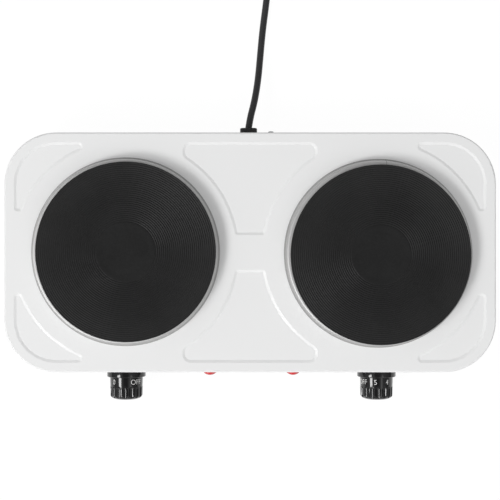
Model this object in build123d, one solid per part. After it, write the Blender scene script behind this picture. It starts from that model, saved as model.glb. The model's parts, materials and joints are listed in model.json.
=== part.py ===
from build123d import *
import math
import os

# Table-top hot plate with two cast-iron plates. Millimetres, +X right, +Y back, +Z up.
# It is drawn about the middle of the housing on the table, and moved along Y at the end so that
# the origin lies under the middle of the whole appliance.

# Housing
body_length = 496.0
body_depth = 242.0
body_top = 62.0
corner_radius = 52.4
top_edge_radius = 1.8
sheet = 0.8
flange_width = 11.0
base_sheet = 0.8
base_inset = 2.0
foot_height = 11.2
cut_over = 1.0

# Pressed panels in the top
panel_margin = 9.8
panel_arc_over = 1.0
panel_depth = 1.0
panel_slope = 2.6
panel_strip = 34.8
panel_inner_least = 20.0
panel_inner_round = 3.0
long_tip_angle = 22.4
side_tip_angle = 21.65
lobe_angle = 31.0
tip_round_share = 0.56

# Plates and their trim rings
plates_apart = 0.5
plates_mid_x = 1.75
plates_mid_y = -0.2
plates_slant = 1.6
plate_play = {"left": (1.4, -0.1), "right": (1.4, -1.4)}
plate_diameter = 180.0
plate_rise = 15.0
plate_rim = 5.0
plate_edge_round = 0.8
plate_web = 10.0
dish_diameter = 56.0
dish_depth = 0.4
rim_overhang = 7.5
neck_clearance = 2.0
skirt_step = 6.5
skirt_wall = 5.0
skirt_bottom = 54.0
hub_diameter = 34.0
plate_hole_clearance = 4.0
ring_reach = 5.0
ring_sheet = 0.7
ring_foot = 0.9
ring_shoulder = 2.2
ring_shoulder_round = 2.2

# Heating elements under the plates
element_diameter = 8.5
element_ring_diameter = 96.0
element_groove_depth = 2.2
element_gap_angle = 54.0
element_bend = 9.0
element_leg_end = 47.0
element_pin_diameter = 3.4
element_pin_end = 39.0
groove_clearance = 0.15
pad_clearance = 0.2
cover_sheet = 0.8
cover_edge = 1.5
bead_neck_diameter = 11.2
bead_flange_diameter = 15.0
bead_flange = 3.0
bead_neck = 2.6
bead_clearance = 0.15

# Clamps that pull the plates down
stud_diameter = 6.0
stud_thread_depth = 11.0
stud_tail = 2.5
bar_sheet = 2.0
bar_width = 26.0
bar_run_clearance = 3.0
bar_rise_run = 6.0
bar_end = 11.0
washer_diameter = 18.0
washer_sheet = 1.6
nut_height = 5.0
nut_flats = 10.0
thread_clearance = 0.05
hole_clearance = 0.3

# Controls: thermostats, shafts and knobs
knobs_apart = 3.3
controls_mid_x = 1.4
knob_height = 34.0
knob_wall_gap = 0.9
knob_length = 29.1
knob_flange_diameter = 39.8
knob_flange = 5.9
knob_flange_round = 0.85
knob_band_diameter = 33.8
knob_band = 9.6
knob_grip_taper = 0.5
knob_nose = 4.4
knob_face_diameter = 17.0
knob_flutes = 16
knob_flute_diameter = 5.2
knob_flute_depth = 1.4
knob_wall = 2.6
knob_hub_diameter = 13.0
knob_hub_setback = 2.0
knob_skirt_wall = 1.9
knob_recess = 3.2
shaft_diameter = 6.0
shaft_fit = 0.05
shaft_flat = 1.5
shaft_flat_length = 14.0
shaft_bore_depth = 21.5
bush_diameter = 10.0
bush_proud = 1.5
bush_collar_diameter = 16.0
bush_collar = 2.0
bracket_sheet = 1.2
bracket_width = 52.0
bracket_height = 30.0
bracket_arm_height = 16.0
bracket_arm_overlap = 6.0
thermostat_screw_pitch = 24.0
thermostat_screw_diameter = 3.8
thermostat_screw_length = 6.0
screw_head_diameter = 6.4
screw_head = 2.0
thermostat_set_back = 23.0
thermostat_width = 30.0
thermostat_height = 26.0
thermostat_plate = 8.0
thermostat_waist = 8.0
thermostat_waist_inset = 4.0
thermostat_shaft_depth = 12.0
tab_spacing = 14.0
tab_drop = 8.0
tab_width = 6.3
tab_sheet = 0.8
tab_length = 8.0

# Pilot lamps
lamp_pitch = 85.6
lamp_height = 34.0
lamp_lens_diameter = 12.4
lamp_reach = 5.5
lamp_dome = 2.4
lamp_face = 1.0
lamp_flange_diameter = 14.6
lamp_flange = 1.0
lamp_barrel_diameter = 9.6
lamp_barrel = 16.0
lamp_bore_diameter = 7.0
lamp_bulb_diameter = 6.0
lamp_bulb_length = 13.0
lamp_bulb_round = 2.0
lamp_clip_diameter = 16.0
lamp_clip_sheet = 0.6

# Feet and base fixings
foot_inset_x = 46.0
foot_inset_y = 33.0
foot_top_diameter = 27.0
foot_bottom_diameter = 22.0
foot_recess_diameter = 12.0
foot_recess = 5.0
foot_edge_round = 1.0
foot_screw_diameter = 4.0
foot_screw_head_diameter = 8.0
foot_screw_head = 2.4
foot_screw_reach = 5.0
foot_nut_height = 3.2
foot_nut_flats = 7.0
base_screw_inset = 78.0
base_screw_inner = 60.0
base_screw_diameter = 3.5
base_screw_head_diameter = 7.0
base_screw_head = 2.2
base_screw_reach = 5.0
vent_rows = 6
vent_pitch = 13.0
vent_length = 74.0
vent_width = 5.0

# Cord entry, terminal block and earth
gland_x = -1.56
gland_height = 24.0
gland_head_width = 17.7
gland_head_height = 15.0
gland_head = 7.85
gland_head_round = 4.0
gland_edge_round = 1.3
gland_neck_diameter = 12.8
gland_nose_diameter = 16.0
gland_nose = 10.0
gland_nose_taper = 1.5
gland_clearance = 0.2
cord_diameter = 7.0
cord_end_inside = 22.0
block_width = 44.0
block_depth = 18.0
block_height = 18.0
block_round = 2.0
block_set_back = 41.0
block_entry_pitch = 6.0
block_entry_count = 6
block_entry_depth = 5.0
block_entry_height = 9.0
block_screw_diameter = 3.6
block_screw_depth = 6.0
block_screw_sunk = 2.0
block_slot_width = 0.8
block_slot_depth = 1.0
earth_x = 21.3
earth_height = 44.0
earth_screw_diameter = 4.0
earth_screw_reach = 11.0
earth_head_diameter = 5.6
earth_head = 2.8
earth_nut_height = 3.2
earth_nut_flats = 7.0
earth_tag_sheet = 0.8
earth_tag_diameter = 9.0
earth_tag_length = 16.0

# Inner wiring: bends, straight ends and the turning points of the routes, right-hand side
lead_diameter = 2.6
lead_clearance = 0.2
live_bend = 9.0
live_tab_run = 10.0
live_entry_run = 26.0
live_turn = (62.0, -26.0)
live_turn_drop = 4.0
load_bend = 3.0
load_tab_run = 3.0
load_pin_run = 6.0
neutral_bend = 6.0
neutral_pin_run = 8.0
neutral_entry_run = 18.0
neutral_turn = (60.0, 12.0)
neutral_turn_drop = 10.0
lamp_lead_diameter = 1.6
lamp_lead_spacing = 4.0
lamp_lead_bend = 5.0
lamp_lead_run = 16.0
lamp_entry_run = 18.0
lamp_turn = (26.0, -10.0)
lamp_turn_rise = 3.0
core_bend = 2.0
core_run = 5.0
core_entry_run = 6.0
earth_core_run = 7.0
earth_core_side = 6.0
earth_core_rise = 3.0
earth_core_drop = 8.0
earth_core_end_run = 3.0

# Mains cord on the table behind: free stretches, coil, tie and plug
cord_rest = 3.6
coil_centre = (-24.0, 325.0)
coil_outer_radius = 44.0
coil_pitch = 7.6
coil_bottom = 4.8
coil_turns_in = 1.5
coil_turns_out = 1.75
coil_climb_turns = 0.5
cord_arc_share = 0.45
tie_angle = 45.0
tie_width = 8.0
tie_sheet = 0.7
tie_clearance = 0.4
tie_round = 2.0
tail_run = 21.0
tail_length = 67.2
plug_front_diameter = 37.0
plug_front = 16.0
plug_edge_round = 1.5
plug_grip_front_diameter = 31.0
plug_grip_back_diameter = 17.0
plug_grip = 28.0
plug_sleeve_diameter = 13.0
plug_sleeve_end_diameter = 9.0
plug_sleeve = 28.0
plug_rest = 18.7
plug_pin_diameter = 4.8
plug_pin_length = 19.0
plug_pin_spacing = 19.0
plug_pin_tip_round = 1.8
plug_notch_width = 8.0
plug_notch_depth = 2.6
plug_strip_width = 5.0
plug_strip_sheet = 0.8
touching = 0.001

# Levels and places that follow from the sizes above
shell_bottom = foot_height + base_sheet
wall = body_depth / 2
inner_wall = wall - sheet
under_top = body_top - sheet
plate_pitch = body_length - body_depth + plates_apart
knob_pitch = plate_pitch + knobs_apart
panel_arc_radius = wall - panel_margin + panel_arc_over
panel_arc_x = body_length / 2 - wall - panel_arc_over
neck_diameter = plate_diameter - 2 * rim_overhang
skirt_diameter = neck_diameter - 2 * skirt_step
ring_diameter = plate_diameter + 2 * ring_reach
plate_top = body_top + plate_rise
rim_seat = plate_top - plate_rim
neck_bottom = body_top + neck_clearance
ceiling = plate_top - plate_web
element_level = ceiling + element_groove_depth - element_diameter / 2
cover_bottom = skirt_bottom - cover_sheet
bar_bottom = cover_bottom - bar_sheet
washer_bottom = bar_bottom - washer_sheet
nut_bottom = washer_bottom - nut_height
knob_back = -wall - knob_wall_gap
knob_front = knob_back - knob_length
bracket_back = -inner_wall + bracket_sheet
thermostat_front = -wall + thermostat_set_back
thermostat_back = thermostat_front + 2 * thermostat_plate + thermostat_waist
tab_height = knob_height - tab_drop
tab_end = thermostat_back + tab_length
lamp_seat = -wall - (lamp_reach - lamp_dome - lamp_face)
lamp_bulb_end = lamp_seat + lamp_bulb_length
base_top = shell_bottom
block_back = wall - block_set_back
block_front = block_back - block_depth
block_middle = (block_front + block_back) / 2
block_top = base_top + block_height
block_screw_floor = block_top - block_screw_depth
block_entry_level = base_top + block_entry_height
screw_row = block_front + block_entry_depth
cord_end = wall - cord_end_inside
gland_face = wall + gland_head
flange_middle = inner_wall - flange_width / 2
play_reach = max(math.hypot(*play) for play in plate_play.values())
lip_radius = neck_diameter / 2 + play_reach + hole_clearance
plate_hole_radius = skirt_diameter / 2 + plate_hole_clearance
origin_shift = (-knob_front - gland_face) / 2

sides = {"left": -1, "right": 1}
upright = (Align.CENTER, Align.CENTER, Align.MIN)


def ring_place(side):
    hand = sides[side]
    return plates_mid_x + hand * plate_pitch / 2, plates_mid_y - hand * plates_slant / 2


def plate_place(side):
    ring_x, ring_y = ring_place(side)
    return ring_x + plate_play[side][0], ring_y + plate_play[side][1]


def knob_x(side):
    return controls_mid_x + sides[side] * knob_pitch / 2


def lamp_x(side):
    return controls_mid_x + sides[side] * lamp_pitch / 2


def foot_places():
    foot_x = body_length / 2 - foot_inset_x
    foot_y = wall - foot_inset_y
    return [(x * foot_x, y * foot_y) for y in (-1, 1) for x in (-1, 1)]


def base_screw_places():
    outer = body_length / 2 - base_screw_inset
    row = (-outer, -base_screw_inner, base_screw_inner, outer)
    return [(x, y * flange_middle) for y in (-1, 1) for x in row]


def thermostat_screw_xs(side):
    return [knob_x(side) + hand * thermostat_screw_pitch / 2 for hand in (-1, 1)]


def element_legs():
    """Each element leg from the plate's centre: the ring's end plus the bend along its tangent."""
    radius = element_ring_diameter / 2
    half = math.radians(element_gap_angle / 2)
    reach = radius * math.sin(half) - element_bend * math.cos(half)
    depth = -radius * math.cos(half) - element_bend * math.sin(half)
    return [(-reach, depth), (reach, depth)]


def leg_places(side):
    plate_x, plate_y = plate_place(side)
    return [(plate_x + x, plate_y + y) for x, y in element_legs()]


def post(diameter, bottom, top, x=0, y=0):
    """Upright cylinder between two heights."""
    return Pos(x, y, bottom) * Cylinder(diameter / 2, top - bottom, align=upright)


def rod(diameter, front, back, x=0, z=0):
    """Cylinder along Y between two depths."""
    return Pos(x, back, z) * Rot(90, 0, 0) * Cylinder(diameter / 2, back - front, align=upright)


def block(x0, x1, y0, y1, z0, z1):
    """Box between two corners."""
    middle = Pos((x0 + x1) / 2, (y0 + y1) / 2, (z0 + z1) / 2)
    return middle * Box(abs(x1 - x0), abs(y1 - y0), abs(z1 - z0))


def across(x, z, width, height, front, back):
    """Box about an axis along Y, between two depths."""
    return block(x - width / 2, x + width / 2, front, back, z - height / 2, z + height / 2)


def hexagon(flats, bottom, top, x=0, y=0):
    """Upright nut blank, measured across its flats."""
    plan = RegularPolygon(flats / 2, 6, major_radius=False)
    return Pos(x, y, bottom) * extrude(plan, top - bottom)


def drill(diameter, bottom, top, x=0, y=0):
    """Cutter for an upright hole between two faces."""
    return post(diameter, bottom - cut_over, top + cut_over, x, y)


def bore(diameter, front, back, x=0, z=0):
    """Cutter for a hole along Y between two faces."""
    return rod(diameter, front - cut_over, back + cut_over, x, z)


def turned(*points):
    """Solid of revolution about Z from a closed outline of (radius, height) points."""
    outline = Polyline(*[(radius, 0, height) for radius, height in points], close=True)
    return revolve(make_face(outline), Axis.Z)


def pan_head(diameter, height, shank, reach, dome=0.35):
    """Screw along Z: a domed head above zero and a plain shank below."""
    head = Cylinder(diameter / 2, height, align=upright)
    head = fillet(head.edges().sort_by(Axis.Z)[-1], height * dome)
    return head + Pos(0, 0, -reach) * Cylinder(shank / 2, reach, align=upright)


def outline(inset):
    """The housing's plan, drawn in by the inset."""
    return RectangleRounded(body_length - 2 * inset, body_depth - 2 * inset, corner_radius - inset)


def slab(inset, bottom, top):
    return Pos(0, 0, bottom) * extrude(outline(inset), top - bottom)


def field(x0, y0, x1, y1):
    return Pos((x0 + x1) / 2, (y0 + y1) / 2) * Rectangle(abs(x1 - x0), abs(y1 - y0))


def round_tip(plan, axis, tips, angle):
    """Round a panel's narrow ends, which lie on the given lines, by a share of their own width."""
    width = wall - panel_margin - panel_arc_radius * math.cos(math.radians(angle))
    ends = [v for v in plan.vertices() if min(abs(tuple(v)[axis] - tip) for tip in tips) < touching]
    return fillet(ends, width * tip_round_share)


def corner_panel(side, end):
    """Plan of a corner panel: the inset outline outside the plate's arc, with rounded tips."""
    arc_x = sides[side] * panel_arc_x
    tip_x = arc_x + sides[side] * panel_arc_radius * math.sin(math.radians(long_tip_angle))
    tip_y = end * panel_arc_radius * math.sin(math.radians(side_tip_angle))
    room = field(tip_x, tip_y, sides[side] * body_length, end * body_depth)
    plan = outline(panel_margin) & room
    plan = plan - Pos(arc_x, 0) * Circle(panel_arc_radius)
    plan = round_tip(plan, 0, [tip_x], long_tip_angle)
    return round_tip(plan, 1, [tip_y], side_tip_angle)


def centre_panel(end):
    """Plan of a panel between the plates: two arcs, a broad outer edge and a short inner one.

    The inner edge lies half the plain strip from the middle, and further out where the arcs come close.
    """
    least = panel_arc_x - panel_inner_least / 2
    close = math.sqrt(max(panel_arc_radius ** 2 - least ** 2, 0))
    inner_edge = end * max(panel_strip / 2, close)
    tip = panel_arc_x - panel_arc_radius * math.sin(math.radians(lobe_angle))
    plan = outline(panel_margin) & field(-tip, inner_edge, tip, end * body_depth)
    for hand in sides.values():
        plan = plan - Pos(hand * panel_arc_x, 0) * Circle(panel_arc_radius)
    inner = [v for v in plan.vertices() if abs(v.Y - inner_edge) < touching]
    plan = fillet(inner, panel_inner_round)
    return round_tip(plan, 0, [-tip, tip], lobe_angle)


def pressed_panels():
    """Sloped-wall cutters for all six panels, from the top face down."""
    plans = [corner_panel(side, end) for side in sides for end in (-1, 1)]
    plans += [centre_panel(end) for end in (-1, 1)]
    slope = math.degrees(math.atan2(panel_slope, panel_depth))
    return [Pos(0, 0, body_top) * extrude(plan, -panel_depth, taper=slope) for plan in plans]


def top_shell():
    outer = slab(0, shell_bottom, body_top)
    outer = fillet(outer.edges().group_by(Axis.Z)[-1], top_edge_radius)
    cavity = slab(sheet, shell_bottom + sheet, under_top)
    cavity = fillet(cavity.edges().group_by(Axis.Z)[-1], top_edge_radius - sheet)
    for panel in pressed_panels():
        outer = outer - panel
        cavity = cavity - Pos(0, 0, -sheet) * panel
    shell = outer - cavity - slab(sheet + flange_width, shell_bottom - cut_over, body_top / 2)
    bush_hole = bush_diameter + 2 * hole_clearance
    screw_hole = thermostat_screw_diameter + 2 * thread_clearance
    lamp_hole = lamp_barrel_diameter + 2 * hole_clearance
    for side in sides:
        shell = shell - post(2 * plate_hole_radius, body_top / 2, plate_top, *ring_place(side))
        shell = shell - bore(bush_hole, -wall, -inner_wall, knob_x(side), knob_height)
        for x in thermostat_screw_xs(side):
            shell = shell - bore(screw_hole, -wall, -inner_wall, x, knob_height)
        shell = shell - bore(lamp_hole, -wall, -inner_wall, lamp_x(side), lamp_height)
    gland_hole = gland_neck_diameter + 2 * gland_clearance
    shell = shell - bore(gland_hole, inner_wall, wall, gland_x, gland_height)
    earth_hole = earth_screw_diameter + 2 * thread_clearance
    shell = shell - bore(earth_hole, inner_wall, wall, earth_x, earth_height)
    for x, y in base_screw_places():
        hole = drill(base_screw_diameter + 2 * thread_clearance, shell_bottom, shell_bottom + sheet, x, y)
        shell = shell - hole
    return shell


def base_plate():
    plate = slab(base_inset, foot_height, base_top)
    for x, y in base_screw_places():
        plate = plate - drill(base_screw_diameter + 2 * hole_clearance, foot_height, base_top, x, y)
    for x, y in foot_places():
        plate = plate - drill(foot_screw_diameter + 2 * hole_clearance, foot_height, base_top, x, y)
    for side in sides:
        ring_x, ring_y = ring_place(side)
        for row in range(vent_rows):
            y = ring_y + (row - (vent_rows - 1) / 2) * vent_pitch
            slot = extrude(SlotOverall(vent_length, vent_width), base_sheet + 2 * cut_over)
            plate = plate - Pos(ring_x, y, foot_height - cut_over) * slot
    block_hole = block_screw_diameter + 2 * hole_clearance
    return plate - drill(block_hole, foot_height, base_top, gland_x, block_middle)


def foot(x, y):
    """Tapered rubber foot with a sunk seat for its screw."""
    body = turned(
        (foot_screw_diameter / 2 + hole_clearance, foot_recess),
        (foot_recess_diameter / 2, foot_recess),
        (foot_recess_diameter / 2, 0),
        (foot_bottom_diameter / 2, 0),
        (foot_top_diameter / 2, foot_height),
        (foot_screw_diameter / 2 + hole_clearance, foot_height),
    )
    body = fillet(body.edges().group_by(Axis.Z)[0].sort_by(SortBy.LENGTH)[-1], foot_edge_round)
    return Pos(x, y) * body


def foot_screw(x, y):
    """Screw up through a foot and the base plate, with its nut on top."""
    reach = foot_height - foot_recess + base_sheet + foot_screw_reach
    screw = pan_head(foot_screw_head_diameter, foot_screw_head, foot_screw_diameter, reach)
    nut = hexagon(foot_nut_flats, base_top, base_top + foot_nut_height, x, y)
    return Pos(x, y, foot_recess) * Rot(180, 0, 0) * screw + nut


def base_screw(x, y):
    reach = base_sheet + sheet + base_screw_reach
    screw = pan_head(base_screw_head_diameter, base_screw_head, base_screw_diameter, reach)
    return Pos(x, y, foot_height) * Rot(180, 0, 0) * screw


def cast_plate(side):
    """Cast-iron plate: rim on the ring's lip, neck and skirt through the housing, hub for the stud."""
    rim = plate_diameter / 2
    skirt = skirt_diameter / 2
    body = turned(
        (0, plate_top - dish_depth),
        (dish_diameter / 2, plate_top - dish_depth),
        (dish_diameter / 2 + dish_depth, plate_top),
        (rim, plate_top),
        (rim, rim_seat),
        (neck_diameter / 2, rim_seat),
        (neck_diameter / 2, neck_bottom),
        (skirt, neck_bottom),
        (skirt, skirt_bottom),
        (skirt - skirt_wall, skirt_bottom),
        (skirt - skirt_wall, ceiling),
        (hub_diameter / 2, ceiling),
        (hub_diameter / 2, skirt_bottom),
        (0, skirt_bottom),
    )
    edge = body.edges().filter_by(GeomType.CIRCLE).group_by(Axis.Z)[-1].sort_by(SortBy.RADIUS)[-1]
    body = fillet(edge, plate_edge_round)
    groove = Torus(element_ring_diameter / 2, element_diameter / 2 + groove_clearance)
    body = body - Pos(0, 0, element_level) * groove
    thread = stud_diameter + 2 * thread_clearance
    body = body - post(thread, skirt_bottom - cut_over, skirt_bottom + stud_thread_depth)
    return Pos(*plate_place(side)) * body


def trim_ring(side):
    """Rolled steel ring: flat foot, leaning band, round shoulder, and the lip that carries the plate."""
    radius = ring_diameter / 2
    foot_edge = radius - ring_foot
    shoulder = plate_diameter / 2 + ring_shoulder
    points = [
        (radius, body_top),
        (radius, body_top + ring_sheet),
        (foot_edge, body_top + ring_sheet),
        (shoulder, rim_seat),
        (lip_radius, rim_seat),
        (lip_radius, rim_seat - ring_sheet),
        (shoulder - ring_sheet, rim_seat - ring_sheet),
        (foot_edge - ring_sheet, body_top),
    ]
    profile = make_face(Polyline(*[(r, 0, z) for r, z in points], close=True))
    outside = [v for v in profile.vertices() if abs(v.X - shoulder) < touching]
    profile = fillet(outside, ring_shoulder_round)
    bend = (shoulder - ring_sheet, rim_seat - ring_sheet)
    inside = [v for v in profile.vertices() if math.dist((v.X, v.Z), bend) < touching]
    profile = fillet(inside, ring_shoulder_round - ring_sheet)
    return Pos(*ring_place(side)) * revolve(profile, Axis.Z)


def heating_element(side):
    """Sheathed tube bent into an open ring, with both ends turned down and a pin in each."""
    radius = element_ring_diameter / 2
    half = math.radians(element_gap_angle / 2)
    legs = element_legs()
    ends = [(hand * radius * math.sin(half), -radius * math.cos(half)) for hand in (-1, 1)]
    knee = element_bend * (1 - math.sqrt(0.5))
    knees = []
    for leg, end in zip(legs, ends):
        share = knee / element_bend
        x = leg[0] + (end[0] - leg[0]) * share
        y = leg[1] + (end[1] - leg[1]) * share
        knees.append((x, y, element_level - knee))
    first, last = [(x, y, element_level - element_bend) for x, y in legs]
    path = Wire([
        Line((*legs[0], element_leg_end), first),
        ThreePointArc(first, knees[0], (*ends[0], element_level)),
        ThreePointArc((*ends[0], element_level), (0, radius, element_level), (*ends[1], element_level)),
        ThreePointArc((*ends[1], element_level), knees[1], last),
        Line(last, (*legs[1], element_leg_end)),
    ])
    tube = sweep(Pos(*legs[0], element_leg_end) * Circle(element_diameter / 2), path=path)
    for x, y in legs:
        tube = tube + post(element_pin_diameter, element_pin_end, element_leg_end, x, y)
    return Pos(*plate_place(side)) * tube


def insulation_pad(side):
    outer = skirt_diameter - 2 * skirt_wall - 2 * hole_clearance
    top = element_level - element_diameter / 2 - pad_clearance
    pad = post(outer, skirt_bottom, top) - drill(hub_diameter + 2 * hole_clearance, skirt_bottom, top)
    for x, y in element_legs():
        pad = pad - drill(2 * element_bend, skirt_bottom, top, x, y)
    return Pos(*plate_place(side)) * pad


def element_cover(side):
    cover = post(skirt_diameter - 2 * cover_edge, cover_bottom, skirt_bottom)
    cover = cover - drill(stud_diameter + 2 * hole_clearance, cover_bottom, skirt_bottom)
    for x, y in element_legs():
        cover = cover - drill(bead_neck_diameter + 2 * bead_clearance, cover_bottom, skirt_bottom, x, y)
    return Pos(*plate_place(side)) * cover


def terminal_bead(x, y):
    """Ceramic bush round an element leg: flange under the cover, neck through it."""
    bottom = cover_bottom - bead_flange
    top = cover_bottom + bead_neck
    bead = post(bead_flange_diameter, bottom, cover_bottom, x, y)
    bead = bead + post(bead_neck_diameter, cover_bottom, top, x, y)
    return bead - drill(element_diameter + 2 * bead_clearance, bottom, top, x, y)


def plate_stud(side):
    return post(stud_diameter, nut_bottom - stud_tail, skirt_bottom + stud_thread_depth, *plate_place(side))


def clamp_bar(side):
    """Bar under the plate: flat below the cover, cranked up at both ends to bear on the housing's top."""
    run = skirt_diameter / 2 + bar_run_clearance
    far = run + bar_rise_run + bar_end
    lift = under_top - bar_sheet - bar_bottom
    right = [(run, 0), (run + bar_rise_run, lift), (far, lift)]
    lower = [(-x, z) for x, z in reversed(right)] + right
    upper = [(x, z + bar_sheet) for x, z in reversed(lower)]
    profile = make_face(Polyline(*[(x, 0, bar_bottom + z) for x, z in lower + upper], close=True))
    bar = extrude(profile, bar_width / 2, both=True)
    bar = bar - drill(stud_diameter + 2 * hole_clearance, bar_bottom, cover_bottom)
    return Pos(*plate_place(side)) * bar


def clamp_washer(side):
    x, y = plate_place(side)
    hole = drill(stud_diameter + 2 * hole_clearance, washer_bottom, bar_bottom, x, y)
    return post(washer_diameter, washer_bottom, bar_bottom, x, y) - hole


def clamp_nut(side):
    x, y = plate_place(side)
    thread = drill(stud_diameter + 2 * thread_clearance, nut_bottom, washer_bottom, x, y)
    return hexagon(nut_flats, nut_bottom, washer_bottom, x, y) - thread


def thermostat(side):
    """Ceramic switch block: two broad plates with a waist between them, bored for the shaft."""
    x, z = knob_x(side), knob_height
    waist_start = thermostat_front + thermostat_plate
    waist_end = waist_start + thermostat_waist
    body = across(x, z, thermostat_width, thermostat_height, thermostat_front, waist_start)
    waist_width = thermostat_width - 2 * thermostat_waist_inset
    waist_height = thermostat_height - 2 * thermostat_waist_inset
    body = body + across(x, z, waist_width, waist_height, waist_start, waist_end)
    body = body + across(x, z, thermostat_width, thermostat_height, waist_end, thermostat_back)
    hole_end = thermostat_front + thermostat_shaft_depth
    return body - rod(shaft_diameter + 2 * hole_clearance, thermostat_front - cut_over, hole_end, x, z)


def tab_xs(side):
    """Terminal tabs, the one nearer the middle of the appliance first."""
    return [knob_x(side) - hand * sides[side] * tab_spacing / 2 for hand in (1, -1)]


def thermostat_tab(x):
    return across(x, tab_height, tab_width, tab_sheet, thermostat_back, tab_end)


def thermostat_bracket(side):
    """Plate on the inside of the front wall with two arms that hold the switch block by its sides."""
    x, z = knob_x(side), knob_height
    plate = across(x, z, bracket_width, bracket_height, -inner_wall, bracket_back)
    arm_end = thermostat_front + bracket_arm_overlap
    for hand in (-1, 1):
        middle = x + hand * (thermostat_width + bracket_sheet) / 2
        plate = plate + across(middle, z, bracket_sheet, bracket_arm_height, bracket_back, arm_end)
    plate = plate - bore(bush_diameter + 2 * thread_clearance, -inner_wall, bracket_back, x, z)
    thread = thermostat_screw_diameter + 2 * thread_clearance
    for screw_x in thermostat_screw_xs(side):
        plate = plate - bore(thread, -inner_wall, bracket_back, screw_x, z)
    return plate


def shaft_bush(side):
    """Brass bush through wall and bracket, with a collar behind the bracket; the shaft turns in it."""
    x, z = knob_x(side), knob_height
    tip = -wall - bush_proud
    bush = rod(bush_diameter, tip, thermostat_front, x, z)
    bush = bush + rod(bush_collar_diameter, bracket_back, bracket_back + bush_collar, x, z)
    return bush - bore(shaft_diameter + 2 * shaft_fit, tip, thermostat_front, x, z)


def thermostat_screw(x):
    head = pan_head(screw_head_diameter, screw_head, thermostat_screw_diameter, thermostat_screw_length)
    return Pos(x, -wall, knob_height) * Rot(90, 0, 0) * head


def shaft(side):
    """Round spindle from the switch to the knob, with a flat on top where the knob grips it."""
    x, z = knob_x(side), knob_height
    tip = knob_back - shaft_bore_depth
    spindle = rod(shaft_diameter, tip, thermostat_front + thermostat_shaft_depth - hole_clearance, x, z)
    flat_level = z + shaft_diameter / 2 - shaft_flat
    cut_middle = flat_level + shaft_diameter / 2
    flat_end = tip + shaft_flat_length
    return spindle - across(x, cut_middle, 2 * shaft_diameter, shaft_diameter, tip - cut_over, flat_end)


def knob(side):
    """Moulded knob: flange, plain band for the scale, fluted grip, rounded nose, hollow behind."""
    flange = knob_flange_diameter / 2
    band = knob_band_diameter / 2
    grip = band - knob_grip_taper
    face = knob_face_diameter / 2
    nose_start = knob_length - knob_nose
    arc_mid = (face + (grip - face) * math.sqrt(0.5), nose_start + knob_nose * math.sqrt(0.5))
    outside = [
        Line((0, 0, 0), (flange, 0, 0)),
        Line((flange, 0, 0), (flange, 0, knob_flange)),
        Line((flange, 0, knob_flange), (band, 0, knob_flange)),
        Line((band, 0, knob_flange), (grip, 0, nose_start)),
        ThreePointArc((grip, 0, nose_start), (arc_mid[0], 0, arc_mid[1]), (face, 0, knob_length)),
        Line((face, 0, knob_length), (0, 0, knob_length)),
        Line((0, 0, knob_length), (0, 0, 0)),
    ]
    body = revolve(make_face(outside), Axis.Z)
    circles = body.edges().filter_by(GeomType.CIRCLE)
    rims = [edge for edge in circles if edge.radius > flange - touching]
    body = fillet(rims, knob_flange_round)
    body = body - knob_hollow() + knob_hub()
    # Each flute is cut by a round-ended bar and begins where the plain band ends.
    bar = knob_flute_diameter / 2
    half_chord = math.sqrt(bar ** 2 - (bar - knob_flute_depth) ** 2)
    start = knob_flange + knob_band + half_chord
    cutter = Cylinder(bar, knob_length, align=upright) + Sphere(bar)
    for index in range(knob_flutes):
        turn = Rot(0, 0, index * 360 / knob_flutes)
        body = body - turn * Pos(grip - knob_flute_depth + bar, 0, start) * cutter
    return Pos(knob_x(side), knob_back, knob_height) * Rot(90, 0, 0) * body


def knob_hollow():
    """Room inside the knob, wider at the back where the flange clears the screw heads on the wall."""
    depth = knob_length - knob_nose
    inside = Cylinder(knob_band_diameter / 2 - knob_wall - knob_flute_depth, depth, align=upright)
    return inside + Cylinder(knob_flange_diameter / 2 - knob_skirt_wall, knob_recess, align=upright)


def knob_hub():
    """Hub with a bore for the shaft; a key fills the bore over the shaft's flat."""
    length = knob_length - knob_nose - knob_hub_setback
    hub = Pos(0, 0, knob_hub_setback) * Cylinder(knob_hub_diameter / 2, length, align=upright)
    depth = shaft_bore_depth + hole_clearance
    hole = Cylinder(shaft_diameter / 2 + shaft_fit, depth, align=upright)
    key_level = shaft_diameter / 2 - shaft_flat + shaft_fit
    key_start = shaft_bore_depth - shaft_flat_length + hole_clearance
    key = block(-shaft_diameter, shaft_diameter, key_level, shaft_diameter, key_start, depth + cut_over)
    return hub - (hole - key)


def lamp_lens(side):
    """Red lens: domed cap and flange outside, barrel through the wall, bored from behind for the bulb."""
    cap = lamp_lens_diameter / 2
    flange = lamp_flange_diameter / 2
    barrel = lamp_barrel_diameter / 2
    hole = lamp_bore_diameter / 2
    straight = lamp_reach - lamp_dome
    ball = (cap ** 2 + lamp_dome ** 2) / (2 * lamp_dome)
    half_angle = math.asin(cap / ball) / 2
    dome_mid = (ball * math.sin(half_angle), lamp_reach - ball * (1 - math.cos(half_angle)))
    end = straight - lamp_face
    depth = sheet + lamp_barrel
    outline_edges = [
        Line((0, 0, end), (hole, 0, end)),
        Line((hole, 0, end), (hole, 0, -depth)),
        Line((hole, 0, -depth), (barrel, 0, -depth)),
        Line((barrel, 0, -depth), (barrel, 0, 0)),
        Line((barrel, 0, 0), (flange, 0, 0)),
        Line((flange, 0, 0), (flange, 0, lamp_flange)),
        Line((flange, 0, lamp_flange), (cap, 0, lamp_flange)),
        Line((cap, 0, lamp_flange), (cap, 0, straight)),
        ThreePointArc((cap, 0, straight), (dome_mid[0], 0, dome_mid[1]), (0, 0, lamp_reach)),
        Line((0, 0, lamp_reach), (0, 0, end)),
    ]
    lens = revolve(make_face(outline_edges), Axis.Z)
    return Pos(lamp_x(side), -wall, lamp_height) * Rot(90, 0, 0) * lens


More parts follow.
